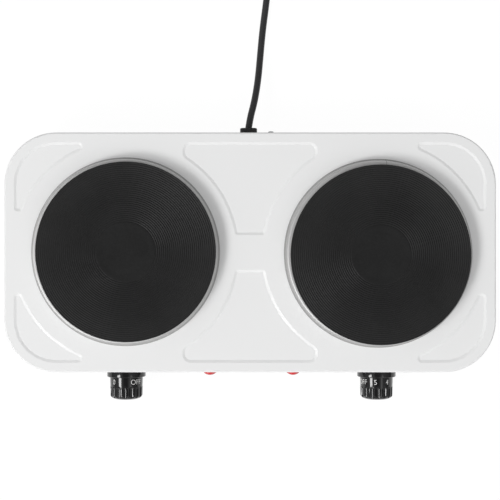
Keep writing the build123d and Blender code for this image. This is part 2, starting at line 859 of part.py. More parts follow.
def lamp_bulb(side):
    """Glow bulb with a round nose against the blind end of the lens."""
    bulb = rod(lamp_bulb_diameter, lamp_seat, lamp_bulb_end, lamp_x(side), lamp_height)
    return fillet(bulb.edges().sort_by(Axis.Y)[0], lamp_bulb_round)


def lamp_clip(side):
    x = lamp_x(side)
    back = -inner_wall + lamp_clip_sheet
    clip = rod(lamp_clip_diameter, -inner_wall, back, x, lamp_height)
    return clip - bore(lamp_barrel_diameter + 2 * thread_clearance, -inner_wall, back, x, lamp_height)


def cord_gland():
    """Nylon bush bored for the cord: rounded head, neck through the wall, tapered nose inside."""
    head = extrude(RectangleRounded(gland_head_width, gland_head_height, gland_head_round), gland_head)
    head = fillet(head.edges().group_by(Axis.Z)[-1], gland_edge_round)
    body = head + Pos(0, 0, -sheet) * Cylinder(gland_neck_diameter / 2, sheet, align=upright)
    nose_end = gland_nose_diameter / 2 - gland_nose_taper
    nose = Cone(gland_nose_diameter / 2, nose_end, gland_nose, align=upright)
    body = body + Pos(0, 0, -sheet) * Rot(180, 0, 0) * nose
    body = body - Cylinder(cord_diameter / 2 + gland_clearance, 4 * (gland_head + gland_nose))
    return Pos(gland_x, wall, gland_height) * Rot(-90, 0, 0) * body


def cord_inner_end():
    return rod(cord_diameter, cord_end, gland_face, gland_x, gland_height)


def block_entries():
    first = gland_x - (block_entry_count - 1) * block_entry_pitch / 2
    return [first + index * block_entry_pitch for index in range(block_entry_count)]


def core_entries():
    """Back entries of the terminal block for the two current-carrying cores."""
    return [gland_x - block_entry_pitch, gland_x + block_entry_pitch]


def terminal_block():
    """Ceramic block with a row of wire entries in front, two behind, and a screw well over each."""
    middle = base_top + block_height / 2
    body = across(gland_x, middle, block_width, block_height, block_front, block_back)
    body = fillet(body.edges().filter_by(Axis.Z), block_round)
    entry = lead_diameter + 2 * lead_clearance
    for x in block_entries():
        body = body - rod(entry, block_front - cut_over, screw_row, x, block_entry_level)
        body = body - post(block_screw_diameter, block_screw_floor, block_top + cut_over, x, screw_row)
    for x in core_entries():
        start = block_back - block_entry_depth
        body = body - rod(entry, start, block_back + cut_over, x, block_entry_level)
    fixing_top = base_top + block_screw_depth
    return body - post(block_screw_diameter, base_top - cut_over, fixing_top, gland_x, block_middle)


def terminal_screw(x):
    top = block_top - block_screw_sunk
    diameter = block_screw_diameter - 2 * thread_clearance
    front = screw_row - block_slot_width / 2
    screw = post(diameter, block_screw_floor, top, x, screw_row)
    return screw - across(x, top, 2 * diameter, 2 * block_slot_depth, front, front + block_slot_width)


def block_fixing():
    """Screw from below that holds the terminal block on the base plate."""
    diameter = block_screw_diameter - 2 * thread_clearance
    reach = base_sheet + block_screw_depth - hole_clearance
    screw = pan_head(base_screw_head_diameter, base_screw_head, diameter, reach)
    return Pos(gland_x, block_middle, foot_height) * Rot(180, 0, 0) * screw


def earth_screw():
    """Pan-head screw in the back wall with its nut inside, over the earth tag."""
    screw = pan_head(earth_head_diameter, earth_head, earth_screw_diameter, earth_screw_reach)
    return Pos(earth_x, wall, earth_height) * Rot(-90, 0, 0) * screw


def earth_nut():
    back = inner_wall - earth_tag_sheet
    thread = drill(earth_screw_diameter + 2 * thread_clearance, 0, earth_nut_height)
    nut = hexagon(earth_nut_flats, 0, earth_nut_height) - thread
    return Pos(earth_x, back, earth_height) * Rot(90, 0, 0) * nut


def earth_tag():
    """Ring tongue on the earth screw, pointing down to its lead."""
    front = inner_wall - earth_tag_sheet
    plate = rod(earth_tag_diameter, front, inner_wall, earth_x, earth_height)
    tongue = earth_height - earth_tag_length / 2
    plate = plate + across(earth_x, tongue, earth_tag_diameter / 2, earth_tag_length, front, inner_wall)
    hole = earth_screw_diameter + 2 * thread_clearance
    return plate - bore(hole, front, inner_wall, earth_x, earth_height)


def lead(points, diameter, bend):
    """Wire along a bent route; it starts square to its first run."""
    path = FilletPolyline(*points, radius=bend)
    return sweep(path.location_at(0) * Circle(diameter / 2), path=path)


def live_lead(side):
    """From the terminal block to the inner tab of the thermostat."""
    hand = sides[side]
    entry = block_entries()[1 if hand < 0 else -2]
    tab = tab_xs(side)[0]
    points = [
        (tab, tab_end, tab_height),
        (tab, tab_end + live_tab_run, tab_height),
        (hand * live_turn[0], live_turn[1], block_entry_level - live_turn_drop),
        (entry, block_front - live_entry_run, block_entry_level),
        (entry, block_front, block_entry_level),
    ]
    return lead(points, lead_diameter, live_bend)


def load_lead(side):
    """From the outer tab of the thermostat to the outer pin of the element."""
    hand = sides[side]
    pin = leg_places(side)[0 if hand < 0 else 1]
    tab = tab_xs(side)[1]
    points = [
        (tab, tab_end, tab_height),
        (tab, tab_end + load_tab_run, tab_height),
        (*pin, element_pin_end - load_pin_run),
        (*pin, element_pin_end),
    ]
    return lead(points, lead_diameter, load_bend)


def neutral_lead(side):
    """From the inner pin of the element to the terminal block."""
    hand = sides[side]
    pin = leg_places(side)[1 if hand < 0 else 0]
    entry = block_entries()[0 if hand < 0 else -1]
    points = [
        (*pin, element_pin_end),
        (*pin, element_pin_end - neutral_pin_run),
        (hand * neutral_turn[0], neutral_turn[1], element_pin_end - neutral_turn_drop),
        (entry, block_front - neutral_entry_run, block_entry_level),
        (entry, block_front, block_entry_level),
    ]
    return lead(points, lead_diameter, neutral_bend)


def lamp_leads(side):
    """Two thin wires of a pilot lamp: one to the terminal block, one to the side of the thermostat."""
    hand = sides[side]
    near = lamp_x(side) - hand * lamp_lead_spacing / 2
    far = lamp_x(side) + hand * lamp_lead_spacing / 2
    entry = block_entries()[2 if hand < 0 else -3]
    to_block = [
        (near, lamp_bulb_end, lamp_height),
        (near, lamp_bulb_end + lamp_lead_run, lamp_height),
        (hand * lamp_turn[0], lamp_turn[1], block_entry_level + lamp_turn_rise),
        (entry, block_front - lamp_entry_run, block_entry_level),
        (entry, block_front, block_entry_level),
    ]
    switch = knob_x(side) - hand * thermostat_width / 2
    depth = thermostat_back - thermostat_plate / 2
    to_switch = [
        (far, lamp_bulb_end, lamp_height),
        (far, depth, lamp_height),
        (switch, depth, lamp_height),
    ]
    return [lead(route, lamp_lead_diameter, lamp_lead_bend) for route in (to_block, to_switch)]


def cord_cores():
    """The three cores from the cord's end: two to the terminal block, one to the earth tag."""
    offset = cord_diameter / 4
    cores = []
    for entry, x in zip(core_entries(), (gland_x - offset, gland_x + offset)):
        points = [
            (x, cord_end, gland_height),
            (x, cord_end - core_run, gland_height),
            (entry, block_back + core_entry_run, block_entry_level),
            (entry, block_back, block_entry_level),
        ]
        cores.append(lead(points, lead_diameter, core_bend))
    tag_bottom = earth_height - earth_tag_length
    tag_depth = inner_wall - lead_diameter
    earth = [
        (gland_x, cord_end, gland_height + offset),
        (gland_x, cord_end - earth_core_run, gland_height + offset),
        (earth_x - earth_core_side, cord_end - core_run, gland_height + earth_core_rise),
        (earth_x, tag_depth - earth_core_end_run, tag_bottom - earth_core_drop),
        (earth_x, tag_depth, tag_bottom),
    ]
    cores.append(lead(earth, lead_diameter, core_bend))
    return cores


# Mains cord: routes, coil and plug
coil_level_top = coil_bottom + coil_pitch
coil_start = (coil_centre[0] + coil_outer_radius, coil_centre[1] - cord_diameter, coil_bottom)
cord_route = [
    (gland_x, gland_face, gland_height),
    (gland_x, 150.0, gland_height),
    (0.5, 174.0, 17.5),
    (4.5, 202.0, 7.0),
    (10.0, 234.0, cord_rest),
    (16.5, 266.0, cord_rest + 0.2),
    (coil_start[0], 294.0, coil_bottom),
    coil_start,
]


def coil_radius(turns):
    """Radius after so many turns: in at a steady rate, then out again at the same rate."""
    return coil_outer_radius - coil_pitch * (coil_turns_in - abs(turns - coil_turns_in))


def coil_height(turns):
    """Level after so many turns: one smooth climb where the spiral reverses."""
    share = min(max((turns - coil_turns_in) / coil_climb_turns + 0.5, 0), 1)
    return coil_bottom + coil_pitch * share * share * (3 - 2 * share)


def coil_point(turns):
    angle = 2 * math.pi * turns
    radius = coil_radius(turns)
    x = coil_centre[0] + radius * math.cos(angle)
    y = coil_centre[1] + radius * math.sin(angle)
    return Vector(x, y, coil_height(turns))


def coil_heading(turns, step=0.0005):
    return (coil_point(turns + step) - coil_point(turns - step)).normalized()


def biarc(start, start_heading, end, end_heading):
    """Two arcs that join smoothly and leave and arrive along the given headings."""
    chord = end - start
    total = start_heading + end_heading
    spread = 2 * (1 - start_heading.dot(end_heading))
    along = chord.dot(total)
    reach = (math.sqrt(along * along + spread * chord.dot(chord)) - along) / spread
    joint = (start + end + (start_heading - end_heading) * reach) * 0.5
    joint_heading = (joint - (start + start_heading * reach)).normalized()
    return [TangentArc(start, joint, tangent=start_heading), TangentArc(joint, end, tangent=joint_heading)]


def coil_path():
    """Straight end, quarter-turn biarcs along the spiral, straight end."""
    quarters = round(4 * (coil_turns_in + coil_turns_out))
    stops = [index / 4 for index in range(quarters + 1)]
    points = [coil_point(turns) for turns in stops]
    headings = [coil_heading(turns) for turns in stops]
    headings[0] = Vector(0, 1, 0)
    headings[-1] = Vector(-1, 0, 0)
    edges = [Line(points[0] - headings[0] * cord_diameter, points[0])]
    for index in range(quarters):
        edges += biarc(points[index], headings[index], points[index + 1], headings[index + 1])
    edges.append(Line(points[-1], points[-1] + headings[-1] * cord_diameter))
    return Wire(edges)


def tube_radii(points):
    """Arc at each corner of a route, as large as the shorter of its two runs allows."""
    corners = [Vector(*point) for point in points]
    radii = []
    for before, here, after in zip(corners, corners[1:], corners[2:]):
        turn = (here - before).get_angle(after - here)
        shorter = min((here - before).length, (after - here).length)
        radii.append(cord_arc_share * shorter / math.tan(math.radians(turn) / 2))
    return radii


def cord_tube(name, points):
    radii = tube_radii(points)
    path = FilletPolyline(*points, radius=radii)
    tube = sweep(path.location_at(0) * Circle(cord_diameter / 2), path=path)
    expected = math.pi * cord_diameter ** 2 / 4 * path.length
    print(name, "radii", [round(radius) for radius in radii], "length", round(path.length, 1),
          "volume ratio", round(tube.volume / expected, 4))
    return tube


def cord_coil():
    path = coil_path()
    tube = sweep(path.location_at(0) * Circle(cord_diameter / 2), path=path)
    count = 600
    places = [path.position_at(index / count) for index in range(count + 1)]
    spacing = path.length / count
    skip = int(2 * math.pi * (coil_outer_radius - 2 * coil_pitch) / 2 / spacing)
    gap = min((a - b).length for i, a in enumerate(places) for b in places[i + skip:]) - cord_diameter
    expected = math.pi * cord_diameter ** 2 / 4 * path.length
    print("cord_coil length", round(path.length, 1), "least gap to itself", round(gap, 2),
          "volume ratio", round(tube.volume / expected, 4))
    return tube


def cord_tie():
    """Flat strap round the bundle of turns, square to them."""
    turn = tie_angle / 360
    # Passes of the bundle at this angle: two below and two above.
    radii = [coil_radius(turn + index) for index in range(int(coil_turns_in + coil_turns_out - turn) + 1)]
    inner = min(radii) - cord_diameter / 2 - tie_clearance
    outer = max(radii) + cord_diameter / 2 + tie_clearance
    low = coil_bottom - cord_diameter / 2 - tie_clearance
    high = coil_level_top + cord_diameter / 2 + tie_clearance
    width = outer - inner
    height = high - low
    hole = RectangleRounded(width, height, tie_round)
    strap = RectangleRounded(width + 2 * tie_sheet, height + 2 * tie_sheet, tie_round + tie_sheet)
    band = extrude(strap - hole, tie_width / 2, both=True)
    # The strap is drawn across X and Y; stood up it lies across the radius and the height.
    band = Pos((inner + outer) / 2, 0, (low + high) / 2) * Rot(90, 0, 0) * band
    return Pos(*coil_centre) * Rot(0, 0, tie_angle) * band


coil_end = coil_point(coil_turns_in + coil_turns_out) + Vector(-1, 0, 0) * cord_diameter
plug_tail = coil_end.X - tail_length
tail_route = [
    (coil_end.X, coil_end.Y, coil_level_top),
    (coil_end.X - tail_run, coil_end.Y, coil_level_top),
    (plug_tail + tail_run, coil_end.Y, plug_rest),
    (plug_tail, coil_end.Y, plug_rest),
]


def plug_place():
    """Plug frame: Z runs from the cord towards the pins, which point along -X."""
    return Pos(plug_tail, coil_end.Y, plug_rest) * Rot(0, -90, 0)


def plug_body():
    """Moulded earthed plug: sleeve, tapered grip, round front with a notch for each earth strip."""
    sleeve = plug_sleeve_diameter / 2
    grip_back = plug_grip_back_diameter / 2
    grip_front = plug_grip_front_diameter / 2
    front = plug_front_diameter / 2
    neck = plug_sleeve + plug_grip
    body = turned(
        (0, 0),
        (plug_sleeve_end_diameter / 2, 0),
        (sleeve, plug_sleeve),
        (grip_back, plug_sleeve),
        (grip_front, neck),
        (front, neck),
        (front, neck + plug_front),
        (0, neck + plug_front),
    )
    body = fillet(body.edges().group_by(Axis.Z)[-1], plug_edge_round)
    bottom = front - plug_notch_depth
    half = plug_notch_width / 2
    low = neck - cut_over
    high = neck + plug_front + cut_over
    for hand in (-1, 1):
        body = body - block(hand * bottom, hand * (front + cut_over), -half, half, low, high)
    return plug_place() * body


def plug_pin(hand):
    """Round pin with a domed tip."""
    face = plug_sleeve + plug_grip + plug_front
    pin = post(plug_pin_diameter, face, face + plug_pin_length, 0, hand * plug_pin_spacing / 2)
    pin = fillet(pin.edges().sort_by(Axis.Z)[-1], plug_pin_tip_round)
    return plug_place() * pin


def plug_strip(hand):
    """Sprung earth strip lying in its notch."""
    neck = plug_sleeve + plug_grip
    bottom = plug_front_diameter / 2 - plug_notch_depth
    top = bottom + plug_strip_sheet
    half = plug_strip_width / 2
    return plug_place() * block(hand * bottom, hand * top, -half, half, neck, neck + plug_front)


def group(shapes):
    return [solid for shape in shapes for solid in shape.solids()]


def settled(shape):
    """A sub-part's solids, moved together so that the origin lies under the middle of the appliance."""
    solids = shape if isinstance(shape, list) else shape.solids()
    moved = [Pos(0, origin_shift, 0) * solid for solid in solids]
    return moved[0] if len(moved) == 1 else Compound(children=moved)


parts = {
    "top_shell": top_shell(),
    "base_plate": base_plate(),
    "foot_screws": group(foot_screw(x, y) for x, y in foot_places()),
    "base_screws": group(base_screw(x, y) for x, y in base_screw_places()),
    "terminal_beads": group(terminal_bead(x, y) for side in sides for x, y in leg_places(side)),
    "plate_studs": group(plate_stud(side) for side in sides),
    "clamp_washers": group(clamp_washer(side) for side in sides),
    "clamp_nuts": group(clamp_nut(side) for side in sides),
    "thermostat_tabs": group(thermostat_tab(x) for side in sides for x in tab_xs(side)),
    "thermostat_screws": group(thermostat_screw(x) for side in sides for x in thermostat_screw_xs(side)),
    "lamp_bulbs": group(lamp_bulb(side) for side in sides),
    "lamp_clips": group(lamp_clip(side) for side in sides),
    "cord_gland": cord_gland(),
    "cord_inner_end": cord_inner_end(),
    "terminal_block": terminal_block(),
    "terminal_screws": group([terminal_screw(x) for x in block_entries()] + [block_fixing()]),
    "earth_screw": earth_screw(),
    "earth_nut": earth_nut(),
    "earth_tag": earth_tag(),
    "live_leads": group(live_lead(side) for side in sides),
    "load_leads": group(load_lead(side) for side in sides),
    "neutral_leads": group(neutral_lead(side) for side in sides),
    "lamp_leads": group(wire for side in sides for wire in lamp_leads(side)),
    "cord_cores": group(cord_cores()),
    "mains_cord": cord_tube("mains_cord", cord_route),
    "cord_coil": cord_coil(),
    "cord_tail": cord_tube("cord_tail", tail_route),
    "cord_tie": cord_tie(),
    "plug_body": plug_body(),
    "plug_pins": group(plug_pin(hand) for hand in (-1, 1)),
    "plug_earth_strips": group(plug_strip(hand) for hand in (-1, 1)),
}
foot_names = ("foot_front_left", "foot_front_right", "foot_rear_left", "foot_rear_right")
for name, (x, y) in zip(foot_names, foot_places()):
    parts[name] = foot(x, y)
for side in sides:
    parts[side + "_plate"] = cast_plate(side)
    parts[side + "_trim_ring"] = trim_ring(side)
    parts[side + "_element"] = heating_element(side)
    parts[side + "_insulation_pad"] = insulation_pad(side)
    parts[side + "_element_cover"] = element_cover(side)
    parts[side + "_clamp_bar"] = clamp_bar(side)
    parts[side + "_thermostat"] = thermostat(side)
    parts[side + "_thermostat_bracket"] = thermostat_bracket(side)
    parts[side + "_shaft_bush"] = shaft_bush(side)
    parts[side + "_shaft"] = shaft(side)
    parts[side + "_knob"] = knob(side)
    parts[side + "_lamp_lens"] = lamp_lens(side)

os.makedirs("parts", exist_ok=True)
for name, shape in parts.items():
    export_step(settled(shape), f"parts/{name}.step")
print(len(parts), "sub-parts, origin moved", round(origin_shift, 3))
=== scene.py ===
import json
import math

import bmesh
import bpy
import numpy as np
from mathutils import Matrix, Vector


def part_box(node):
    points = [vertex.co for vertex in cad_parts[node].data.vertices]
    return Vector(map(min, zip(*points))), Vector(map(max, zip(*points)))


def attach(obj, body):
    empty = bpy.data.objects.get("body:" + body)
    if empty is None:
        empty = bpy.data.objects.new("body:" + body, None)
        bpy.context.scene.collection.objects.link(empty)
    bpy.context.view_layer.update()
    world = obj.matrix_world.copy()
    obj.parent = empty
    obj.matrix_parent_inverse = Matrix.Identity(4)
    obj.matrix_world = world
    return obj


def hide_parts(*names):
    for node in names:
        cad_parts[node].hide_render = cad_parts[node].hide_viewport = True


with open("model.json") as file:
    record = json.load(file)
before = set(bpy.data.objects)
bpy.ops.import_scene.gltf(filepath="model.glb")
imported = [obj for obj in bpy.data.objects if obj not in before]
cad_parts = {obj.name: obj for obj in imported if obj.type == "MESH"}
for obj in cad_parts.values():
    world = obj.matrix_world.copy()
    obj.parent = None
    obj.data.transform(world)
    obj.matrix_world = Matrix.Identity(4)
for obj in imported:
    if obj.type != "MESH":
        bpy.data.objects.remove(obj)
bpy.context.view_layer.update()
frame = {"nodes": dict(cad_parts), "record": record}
scene = bpy.context.scene
scene.view_settings.view_transform = "Standard"
nodes = frame["nodes"]
mm = 0.001
sides = ("left", "right")
creaseAngle = 35.0  # degrees; edges sharper than this stay sharp
print("frame loaded:", len(nodes), "nodes")


class Wire:  # wraps one output socket; sums and products of wires become Math nodes
    def __init__(self, tree, socket=None):
        self.tree = tree
        self.socket = socket

    def node(self, kind, settings, sockets, out=0):  # type, settings first, then values or links
        made = self.tree.nodes.new(kind)
        for name, value in settings.items():
            setattr(made, name, value)
        for name, value in sockets.items():
            if isinstance(value, Wire):
                self.tree.links.new(value.socket, made.inputs[name])
            else:
                made.inputs[name].default_value = value
        return Wire(self.tree, made.outputs[out])

    def math(self, operation, *values):
        return self.node("ShaderNodeMath", {"operation": operation}, dict(enumerate(values)))

    def __add__(self, other):
        return self.math("ADD", self, other)

    def __radd__(self, other):
        return self.math("ADD", other, self)

    def __sub__(self, other):
        return self.math("SUBTRACT", self, other)

    def __rsub__(self, other):
        return self.math("SUBTRACT", other, self)

    def __mul__(self, other):
        return self.math("MULTIPLY", self, other)

    def __rmul__(self, other):
        return self.math("MULTIPLY", other, self)


grains = {  # how much small detail a noise holds
    "soft": {"Detail": 3.0, "Roughness": 0.55},
    "fine": {"Detail": 4.0, "Roughness": 0.6},
    "sandy": {"Detail": 5.0, "Roughness": 0.65},
}


def finish(name, settings):  # Principled material; settings are the constant sockets
    material = bpy.data.materials.new(name)
    material.use_nodes = True
    shader = material.node_tree.nodes["Principled BSDF"]
    for socket, value in settings.items():
        shader.inputs[socket].default_value = value
    return material, Wire(material.node_tree), shader


def feed(wires, shader, links):  # joins wires to the shader's own sockets
    for name, wire in links.items():
        wires.tree.links.new(wire.socket, shader.inputs[name])


def places(wires):  # object coordinates in metres
    return wires.node("ShaderNodeTexCoord", {}, {}, "Object")


def axis(wires, vector, letter):  # one component of a vector
    return wires.node("ShaderNodeSeparateXYZ", {}, {"Vector": vector}, letter)


def fromAxis(wires, centre):  # object coordinates counted from a plate's or ring's upright axis
    sockets = {0: places(wires), 1: (*centre, 0.0)}
    return wires.node("ShaderNodeVectorMath", {"operation": "SUBTRACT"}, sockets)


def reach(wires, spot):  # distance from that axis
    x, y = [axis(wires, spot, letter) for letter in "XY"]
    return wires.math("SQRT", x * x + y * y)


def noise(wires, scale, grain="soft"):  # 0 to 1, around one half
    return wires.node("ShaderNodeTexNoise", {}, {"Vector": places(wires), "Scale": scale, **grains[grain]})


def blend(wires, share, first, second):  # colour mix; 6, 7 and 2 are the node's colour sockets
    return wires.node("ShaderNodeMix", {"data_type": "RGBA"}, {"Factor": share, 6: first, 7: second}, 2)


def ease(wires, value, low, high):  # 0 below low, 1 above high, smooth between
    settings = {"interpolation_type": "SMOOTHSTEP"}
    return wires.node("ShaderNodeMapRange", settings, {"Value": value, "From Min": low, "From Max": high})


def bump(wires, height, strength, distance):
    sockets = {"Strength": strength, "Distance": distance, "Height": height}
    return wires.node("ShaderNodeBump", {}, sockets)


def tint(colour, factor):  # one colour made lighter or darker, as RGBA
    return tuple(min(1.0, channel * factor) for channel in colour) + (1.0,)


def plainFinish(name, look):  # colour drift, roughness drift and a fine skin over one base colour
    material, wires, shader = finish(name, look.get("shader", {}))
    broad = noise(wires, look["broad"])
    fine = noise(wires, look["fine"], "fine")
    darker, paler = tint(look["colour"], 1 - look["drift"]), tint(look["colour"], 1 + look["drift"])
    colour = blend(wires, broad, darker, paler)
    rough = look["rough"] + (fine - 0.5) * look["roughDrift"] + (broad - 0.5) * look["roughDrift"]
    skin = bump(wires, fine, look["skin"], look["skinDepth"])
    feed(wires, shader, {"Base Color": colour, "Roughness": rough, "Normal": skin})
    return material


# Finishes by slot of the record
looks = {
    "white_enamel": {
        "colour": (0.86, 0.862, 0.862), "drift": 0.006, "broad": 9.0, "fine": 420.0,
        "rough": 0.5, "roughDrift": 0.06, "skin": 0.06, "skinDepth": 0.0004,
        "shader": {"Specular IOR Level": 0.1, "Coat Weight": 0.12, "Coat Roughness": 0.12}},
    "zinc_steel": {
        "colour": (0.62, 0.625, 0.635), "drift": 0.10, "broad": 35.0, "fine": 900.0,
        "rough": 0.36, "roughDrift": 0.16, "skin": 0.10, "skinDepth": 0.0003,
        "shader": {"Metallic": 1.0}},
    "sheath_steel": {
        "colour": (0.26, 0.25, 0.24), "drift": 0.18, "broad": 60.0, "fine": 1200.0,
        "rough": 0.52, "roughDrift": 0.18, "skin": 0.15, "skinDepth": 0.0003,
        "shader": {"Metallic": 1.0}},
    "knob_black": {
        "colour": (0.005, 0.005, 0.0054), "drift": 0.15, "broad": 40.0, "fine": 800.0,
        "rough": 0.09, "roughDrift": 0.05, "skin": 0.005, "skinDepth": 0.0002,
        "shader": {"Specular IOR Level": 0.15, "Coat Weight": 0.75, "Coat Roughness": 0.03}},
    "lamp_red": {
        "colour": (0.66, 0.008, 0.010), "drift": 0.08, "broad": 90.0, "fine": 900.0,
        "rough": 0.14, "roughDrift": 0.05, "skin": 0.02, "skinDepth": 0.0002,
        "shader": {"Specular IOR Level": 0.3, "Coat Weight": 0.3, "Coat Roughness": 0.05,
                   "Transmission Weight": 0.06, "IOR": 1.49}},
    "bulb_glass": {
        "colour": (0.92, 0.88, 0.84), "drift": 0.03, "broad": 60.0, "fine": 700.0,
        "rough": 0.06, "roughDrift": 0.03, "skin": 0.02, "skinDepth": 0.0002,
        "shader": {"Transmission Weight": 0.9, "IOR": 1.5}},
    "foot_rubber": {
        "colour": (0.022, 0.022, 0.023), "drift": 0.25, "broad": 70.0, "fine": 1100.0,
        "rough": 0.72, "roughDrift": 0.14, "skin": 0.25, "skinDepth": 0.0003,
        "shader": {"Specular IOR Level": 0.35}},
    "ceramic_white": {
        "colour": (0.80, 0.78, 0.72), "drift": 0.05, "broad": 45.0, "fine": 700.0,
        "rough": 0.55, "roughDrift": 0.12, "skin": 0.18, "skinDepth": 0.0003},
    "fibre_pad": {
        "colour": (0.70, 0.66, 0.58), "drift": 0.10, "broad": 120.0, "fine": 1400.0,
        "rough": 0.92, "roughDrift": 0.08, "skin": 0.5, "skinDepth": 0.0006},
    "brass_bare": {
        "colour": (0.72, 0.50, 0.20), "drift": 0.12, "broad": 60.0, "fine": 900.0,
        "rough": 0.30, "roughDrift": 0.14, "skin": 0.08, "skinDepth": 0.0002,
        "shader": {"Metallic": 1.0}},
    "cord_black": {
        "colour": (0.016, 0.016, 0.017), "drift": 0.18, "broad": 50.0, "fine": 900.0,
        "rough": 0.48, "roughDrift": 0.12, "skin": 0.12, "skinDepth": 0.0002},
    "nylon_black": {
        "colour": (0.016, 0.016, 0.017), "drift": 0.18, "broad": 60.0, "fine": 1300.0,
        "rough": 0.42, "roughDrift": 0.14, "skin": 0.22, "skinDepth": 0.0002},
    "lead_brown": {
        "colour": (0.17, 0.07, 0.03), "drift": 0.12, "broad": 60.0, "fine": 900.0,
        "rough": 0.5, "roughDrift": 0.1, "skin": 0.08, "skinDepth": 0.0002},
    "lead_blue": {
        "colour": (0.04, 0.12, 0.40), "drift": 0.12, "broad": 60.0, "fine": 900.0,
        "rough": 0.5, "roughDrift": 0.1, "skin": 0.08, "skinDepth": 0.0002},
    "lead_white": {
        "colour": (0.74, 0.72, 0.67), "drift": 0.06, "broad": 60.0, "fine": 900.0,
        "rough": 0.6, "roughDrift": 0.1, "skin": 0.15, "skinDepth": 0.0002},
    "pin_nickel": {
        "colour": (0.70, 0.69, 0.66), "drift": 0.06, "broad": 80.0, "fine": 1100.0,
        "rough": 0.2, "roughDrift": 0.1, "skin": 0.05, "skinDepth": 0.0002,
        "shader": {"Metallic": 1.0}},
}
finishes = {slot: plainFinish(slot, look) for slot, look in looks.items()}

ironLook = {
    "dark": (0.0145, 0.0145, 0.0146, 1.0), "pale": (0.0258, 0.0258, 0.0259, 1.0), "specular": 0.08,
    "grain": 700.0, "grainShare": 0.6, "patch": 30.0, "patchShare": 0.4, "contrast": 2.2, "level": 0.35,
    "rimStart": 0.050, "rimEnd": 0.094, "rimShare": 0.5,
    "rough": 0.40, "grainRough": 0.15, "patchRough": 0.10, "skin": 0.08, "skinDepth": 0.0002,
}


def plateIron(name, centre):  # black coated cast iron: sand grain, slow patches, paler towards the rim
    look = ironLook
    material, wires, shader = finish(name, {"Specular IOR Level": look["specular"]})
    outward = ease(wires, reach(wires, fromAxis(wires, centre)), look["rimStart"], look["rimEnd"])
    grain = noise(wires, look["grain"], "sandy")
    patch = noise(wires, look["patch"], "fine")
    mixed = grain * look["grainShare"] + patch * look["patchShare"]
    share = (mixed - 0.5) * look["contrast"] + look["level"] + outward * look["rimShare"]
    colour = blend(wires, share, look["dark"], look["pale"])
    rough = look["rough"] + (grain - 0.5) * look["grainRough"] + (patch - 0.5) * look["patchRough"]
    skin = bump(wires, grain, look["skin"], look["skinDepth"])
    feed(wires, shader, {"Base Color": colour, "Roughness": rough, "Normal": skin})
    return material


steelLook = {
    "colour": (0.62, 0.618, 0.615), "dull": 0.92, "bright": 1.06, "lines": 0.00035, "patch": 55.0,
    # foot, footLow, footHigh, footDrift: painted shade, the steel colour darkened towards the ring's foot
    "foot": 0.85, "footLow": 0.0630, "footHigh": 0.0716, "footDrift": 0.002,
    "rough": 0.58, "patchRough": 0.12, "lineRough": 0.04, "footRough": 0.15,
    "skin": 0.06, "skinDepth": 0.0001,
    "seamPlace": {"left": None, "right": 0.0075}, "seamWidth": 0.00022, "seamCore": 0.4, "seamDark": 0.75,
}


def trimSteel(name, centre, seam):  # rolled bright steel: fine lines round the ring, painted shade darkening the foot, butt seam
    look = steelLook
    material, wires, shader = finish(name, {"Metallic": 1.0})
    spot = fromAxis(wires, centre)
    height = axis(wires, spot, "Z")
    turns = (reach(wires, spot) + height) * (2 * math.pi / look["lines"])
    lines = wires.math("SINE", turns) * 0.5 + 0.5
    patch = noise(wires, look["patch"], "fine")
    # painted shade: the steel colour is darkened towards the ring's foot, next to the housing
    clearOfFootShade = ease(wires, height + (patch - 0.5) * look["footDrift"], look["footLow"], look["footHigh"])
    share = look["foot"] + clearOfFootShade * (1 - look["foot"])
    if seam is not None:
        beside = wires.math("ABSOLUTE", axis(wires, spot, "X") - seam)
        behind = wires.math("GREATER_THAN", axis(wires, spot, "Y"), 0.0)
        clear = ease(wires, beside, look["seamCore"] * look["seamWidth"], look["seamWidth"])
        share = share * (1 - look["seamDark"] * behind * (1 - clear))
    dull, bright = tint(look["colour"], look["dull"]), tint(look["colour"], look["bright"])
    colour = blend(wires, share, (0.0, 0.0, 0.0, 1.0), blend(wires, patch, dull, bright))
    rough = look["rough"] + (patch - 0.5) * look["patchRough"] + lines * look["lineRough"]
    rough = rough + (1 - clearOfFootShade) * look["footRough"]
    skin = bump(wires, lines, look["skin"], look["skinDepth"])
    feed(wires, shader, {"Base Color": colour, "Roughness": rough, "Normal": skin})
    return material


def wear(node, material):
    nodes[node].data.materials.clear()
    nodes[node].data.materials.append(material)


for part in frame["record"]["subparts"]:
    if part["material_slot"] in finishes:
        wear(part["node"], finishes[part["material_slot"]])
print("finishes on CAD nodes:", len(finishes))


def middle(node):  # centre of a node's box
    low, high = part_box(node)
    return (low + high) / 2


def meshPiece(name, points, faces, material, body, crease=creaseAngle):
    # smooth faces, with edges sharper than the crease kept sharp
    mesh = bpy.data.meshes.new(name)
    mesh.from_pydata(points.tolist(), [], faces)
    mesh.materials.append(material)
    mesh.polygons.foreach_set("use_smooth", np.full(len(mesh.polygons), True))
    mesh.set_sharp_from_angle(angle=math.radians(crease))
    mesh.update()
    piece = bpy.data.objects.new(name, mesh)
    scene.collection.objects.link(piece)
    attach(piece, body)
    return piece


def gridPiece(name, points, material, body, crease=creaseAngle):
    # rows of points, each row closed on itself; points that coincide are joined, so poles and seams are shut
    rows, columns = points.shape[:2]
    row, column = np.meshgrid(np.arange(rows - 1), np.arange(columns), indexing="ij")
    beside = (column + 1) % columns
    corners = np.stack([row * columns + column, (row + 1) * columns + column,
                        (row + 1) * columns + beside, row * columns + beside], -1)
    spots, joined = np.unique(np.round(points.reshape(-1, 3), 7), axis=0, return_inverse=True)
    faces = [list(dict.fromkeys(face)) for face in joined.reshape(-1)[corners.reshape(-1, 4)].tolist()]
    faces = [face for face in faces if len(face) > 2]
    return meshPiece(name, spots, faces, material, body, crease)


